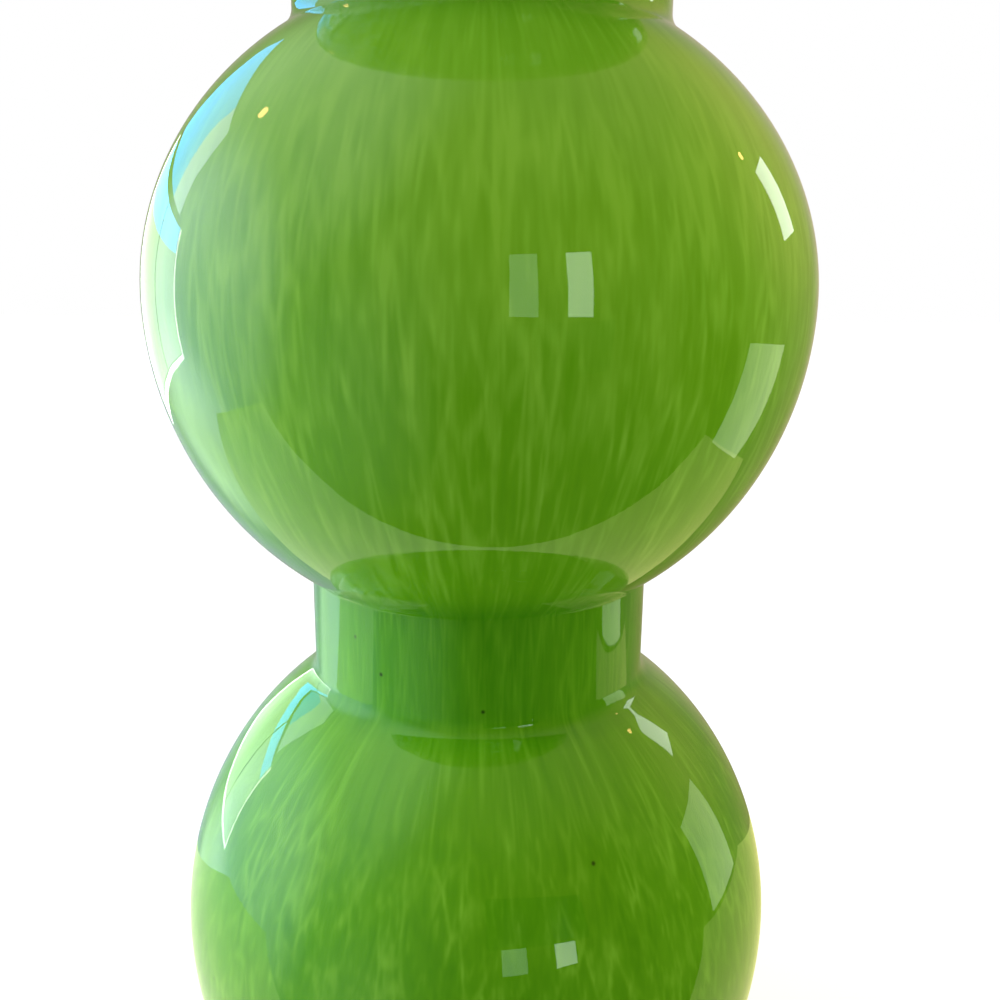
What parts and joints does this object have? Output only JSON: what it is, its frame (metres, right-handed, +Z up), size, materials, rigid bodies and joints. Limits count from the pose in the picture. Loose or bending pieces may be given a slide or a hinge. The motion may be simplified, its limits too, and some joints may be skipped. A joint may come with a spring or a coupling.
{
  "type": "gourd vase",
  "caption": "Tall stacked gourd vase in cased glass: round bulbs with straight waists between them, a short flared neck and a flat foot ring, for flowers or display.",
  "frame": {"origin": "centre of the foot, on the surface that the vase stands on", "axes": "+Z up along the vase's axis, X and Y in the plane of the foot"},
  "size_m": [0.153, 0.153, 0.4482],
  "materials": {
    "clear_glass": "clear, fire-polished",
    "green_glass": "opaque green with paler streaks",
    "opal_glass": "opal white, glossy"
  },
  "bodies": {
    "root": {"clear_casing": "clear_glass", "colour_layer": "green_glass", "opal_lining": "opal_glass"}
  },
  "joints": []
}
